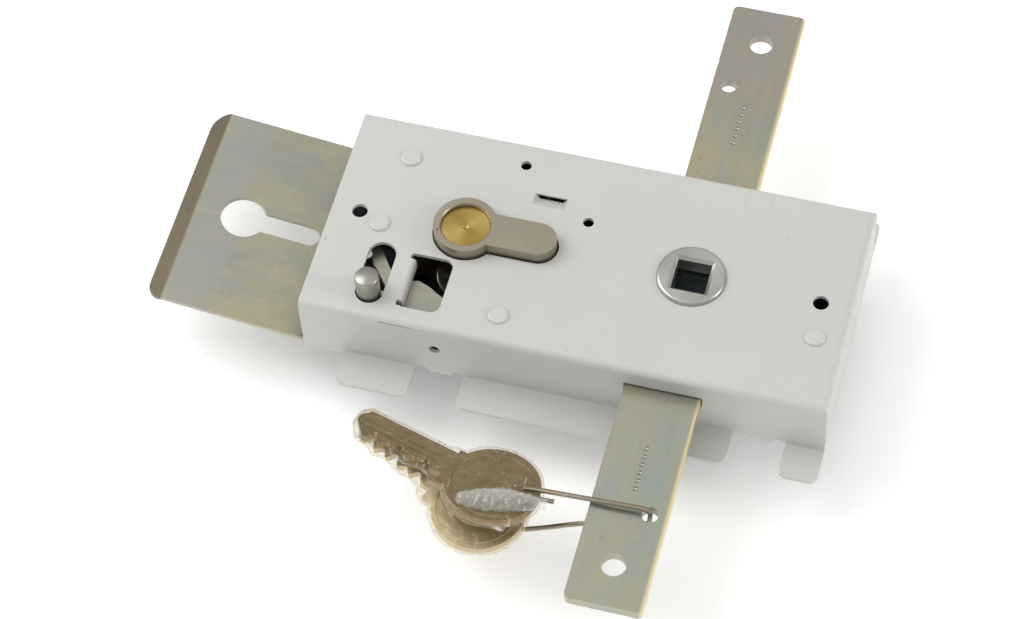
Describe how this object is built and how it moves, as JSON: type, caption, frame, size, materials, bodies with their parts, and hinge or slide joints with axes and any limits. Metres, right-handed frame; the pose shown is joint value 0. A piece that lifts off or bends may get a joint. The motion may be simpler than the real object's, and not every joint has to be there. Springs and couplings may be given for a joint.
{
  "type": "mortise lock",
  "caption": "Surface-fixed box lock with a square follower, opposed shoot bars, a keyhole latch plate, a profile half cylinder, a snib pin and keys.",
  "frame": {"origin": "on the follower's axis, in the plane where the case and its flanges rest on the door", "axes": "+X from the follower towards the closed end of the case; +Y along the first shoot bar; +Z out of the door, through the visible face"},
  "size_m": [0.1836, 0.1896, 0.0437],
  "materials": {
    "case": "white powder coat, light scuffs",
    "pillars": "steel, heads painted over with the case",
    "spring_rivet": "steel, head painted over with the case",
    "base_plate": "zinc-plated sheet",
    "base_screws": "zinc-plated",
    "guide_stud": "turned",
    "rack_guides": "zinc-plated sheet",
    "slide_spring": "spring steel strip",
    "cylinder_body": "nickel-plated brass, matt",
    "cylinder_screw": "zinc-plated",
    "driver_pins": "turned",
    "pin_springs": "spring wire",
    "chamber_caps": "pressed in",
    "plug": "turned",
    "key_pins": "turned",
    "cam": "sintered steel",
    "plug_clip": "spring steel",
    "rear_plug": "turned, fine rings",
    "lower_follower": "sintered or cast steel",
    "upper_follower": "zinc-plated",
    "top_bar": "yellow zinc plating",
    "bottom_bar": "yellow zinc plating",
    "latch_plate": "yellow zinc plating",
    "pull_rack": "yellow zinc plating",
    "plate_rivets": "plated",
    "locking_slide": "zinc-plated sheet",
    "snib_pin": "nickel-plated",
    "key_1": "nickel-plated brass",
    "key_2": "nickel-plated brass",
    "key_sleeve_1": "clear film",
    "key_sleeve_2": "clear film",
    "key_wire": "drawn wire"
  },
  "bodies": {
    "lock_case": {"case": "case", "pillars": "pillars", "spring_rivet": "spring_rivet", "base_plate": "base_plate", "base_screws": "base_screws", "guide_stud": "guide_stud", "rack_guides": "rack_guides", "slide_spring": "slide_spring", "cylinder_body": "cylinder_body", "cylinder_screw": "cylinder_screw", "driver_pins": "driver_pins", "pin_springs": "pin_springs", "chamber_caps": "chamber_caps"},
    "barrel": {"plug": "plug", "key_pins": "key_pins", "cam": "cam", "plug_clip": "plug_clip", "rear_plug": "rear_plug"},
    "hub": {"lower_follower": "lower_follower"},
    "boss": {"upper_follower": "upper_follower"},
    "upper_shoot": {"top_bar": "top_bar"},
    "lower_shoot": {"bottom_bar": "bottom_bar"},
    "latch": {"latch_plate": "latch_plate", "pull_rack": "pull_rack", "plate_rivets": "plate_rivets"},
    "snib": {"locking_slide": "locking_slide", "snib_pin": "snib_pin"},
    "key_loop": {"key_1": "key_1", "key_2": "key_2", "key_sleeve_1": "key_sleeve_1", "key_sleeve_2": "key_sleeve_2", "key_wire": "key_wire"}
  },
  "joints": [
    {"name": "follower_turn", "type": "hinge", "parent": "lock_case", "child": "hub", "pos_m": [0, 0, 0], "axis": [0, 0, 1], "range_deg": [0, 90]},
    {"name": "boss_turn", "type": "hinge", "parent": "lock_case", "child": "boss", "pos_m": [0, 0, 0.0205], "axis": [0, 0, 1], "range_deg": [0, 90]},
    {"name": "upper_shoot_slide", "type": "slide", "parent": "lock_case", "child": "upper_shoot", "axis": [0, 1, 0], "range_m": [0, 0.01649]},
    {"name": "lower_shoot_slide", "type": "slide", "parent": "lock_case", "child": "lower_shoot", "axis": [0, -1, 0], "range_m": [0, 0.0165]},
    {"name": "latch_slide", "type": "slide", "parent": "lock_case", "child": "latch", "axis": [-1, 0, 0], "range_m": [0, 0.0165]},
    {"name": "barrel_turn", "type": "hinge", "parent": "lock_case", "child": "barrel", "pos_m": [-0.0605, 0, 0.014], "axis": [0, 0, -1], "range_deg": [0, 50.3]},
    {"name": "snib_slide", "type": "slide", "parent": "lock_case", "child": "snib", "axis": [0, 1, 0], "range_m": [0, 0.0102]},
    {"name": "key_swing", "type": "hinge", "parent": "lower_shoot", "child": "key_loop", "pos_m": [0.0054, -0.0674, 0.0124], "axis": [0, 0, 1], "range_deg": [-3, 30]}
  ],
  "couplings": [
    {"joint": "follower_turn", "follows": "upper_shoot_slide", "rad_per_m": 95.238},
    {"joint": "boss_turn", "follows": "upper_shoot_slide", "rad_per_m": 95.238},
    {"joint": "lower_shoot_slide", "follows": "upper_shoot_slide", "ratio": 1},
    {"joint": "latch_slide", "follows": "upper_shoot_slide", "ratio": 1},
    {"joint": "barrel_turn", "follows": "snib_slide", "rad_per_m": 86.06}
  ]
}
